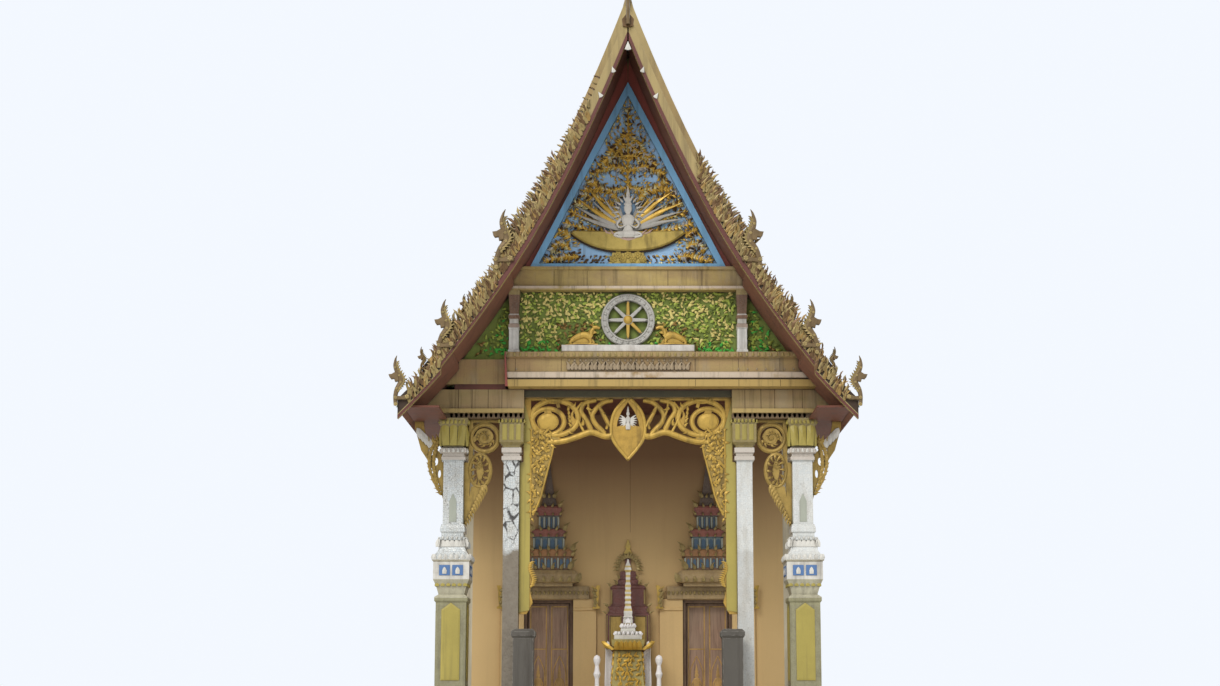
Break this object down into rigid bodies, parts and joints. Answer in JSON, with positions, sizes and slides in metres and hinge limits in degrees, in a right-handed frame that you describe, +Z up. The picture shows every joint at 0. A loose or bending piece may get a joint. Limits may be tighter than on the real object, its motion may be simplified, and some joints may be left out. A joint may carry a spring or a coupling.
{
  "type": "thai temple hall with porches",
  "caption": "Thai temple hall with tiered gable roofs, gilded bargeboards, columned porches and hinged double-leaf doors.",
  "frame": {"origin": "centre of the hall on the underside of the base, at ground level", "axes": "+Z up, -Y towards the front with the doors, +X to the right seen from the front"},
  "size_m": [9.95, 21.4675, 19.1497],
  "materials": {
    "base_concrete": "weathered cement render",
    "tan_plaster": "matt painted plaster",
    "cream_plaster": "matt painted plaster",
    "brown_timber": "varnished timber, worn",
    "dark_ceiling": "dark stained boards",
    "gold_paint": "gilded cast ornament, aged",
    "mosaic_white": "white glazed ware with mirror chips",
    "aged_beam": "olive brown painted beam, weathered",
    "green_field": "green and gold glass mosaic",
    "blue_frame": "sky blue glass mosaic",
    "roof_tile": "glazed roof tile",
    "board_gold": "faded gold board",
    "wheel_grey": "pale grey painted cast relief",
    "white_ledge": "white painted ledge",
    "niche_red": "red lacquer, gilded edges"
  },
  "bodies": {
    "root": {"base_platform": "base_concrete", "front_stair": "base_concrete", "stair_cheeks": "base_concrete", "stair_posts": "base_concrete", "front_wall_left": "tan_plaster", "front_wall_middle": "tan_plaster", "front_wall_right": "tan_plaster", "front_wall_top": "tan_plaster", "rear_wall": "tan_plaster", "side_walls": "cream_plaster", "window_shutters": "brown_timber", "window_frames": "gold_paint", "ceilings": "dark_ceiling", "inner_columns": "mosaic_white", "outer_columns": "mosaic_white", "column_pedestals": "mosaic_white", "lower_beams": "aged_beam", "cornices": "aged_beam", "arch_ornament_left": "gold_paint", "arch_ornament_middle": "gold_paint", "arch_ornament_right": "gold_paint", "bay_brackets": "gold_paint", "eave_brackets": "gold_paint", "porch_gable_walls": "green_field", "main_gable_walls": "aged_beam", "collar_beams": "aged_beam", "gable_pilasters": "mosaic_white", "pediment_frames": "blue_frame", "pediment_relief": "gold_paint", "wheel": "wheel_grey", "deer_pair": "gold_paint", "wheel_shelf": "white_ledge", "eave_soffits": "niche_red", "porch_roof_upper": "roof_tile", "porch_roof_middle": "roof_tile", "porch_roof_lower": "roof_tile", "main_roof_upper": "roof_tile", "main_roof_middle": "roof_tile", "main_roof_lower": "roof_tile", "ridge_caps": "roof_tile", "porch_bargeboards": "board_gold", "main_bargeboards": "board_gold", "porch_blades": "gold_paint", "main_blades": "gold_paint", "eave_finials": "gold_paint", "ridge_finials": "gold_paint", "door_frames": "brown_timber", "door_crowns": "niche_red", "door_pilasters": "tan_plaster", "pilaster_brackets": "gold_paint", "shrine_niche": "niche_red", "altar": "gold_paint", "altar_panels": "cream_plaster"},
    "door_leaf_left_outer": {"door_leaf_left_outer": "brown_timber"},
    "door_leaf_left_inner": {"door_leaf_left_inner": "brown_timber"},
    "door_leaf_right_inner": {"door_leaf_right_inner": "brown_timber"},
    "door_leaf_right_outer": {"door_leaf_right_outer": "brown_timber"}
  },
  "joints": [
    {"name": "door_leaf_left_outer_hinge", "type": "hinge", "parent": "root", "child": "door_leaf_left_outer", "pos_m": [-2.32, -4.76, 2.655], "axis": [0, 0, 1], "range_deg": [0, 90]},
    {"name": "door_leaf_left_inner_hinge", "type": "hinge", "parent": "root", "child": "door_leaf_left_inner", "pos_m": [-1.38, -4.76, 2.655], "axis": [0, 0, -1], "range_deg": [0, 90]},
    {"name": "door_leaf_right_inner_hinge", "type": "hinge", "parent": "root", "child": "door_leaf_right_inner", "pos_m": [1.38, -4.76, 2.655], "axis": [0, 0, 1], "range_deg": [0, 90]},
    {"name": "door_leaf_right_outer_hinge", "type": "hinge", "parent": "root", "child": "door_leaf_right_outer", "pos_m": [2.32, -4.76, 2.655], "axis": [0, 0, -1], "range_deg": [0, 90]}
  ]
}
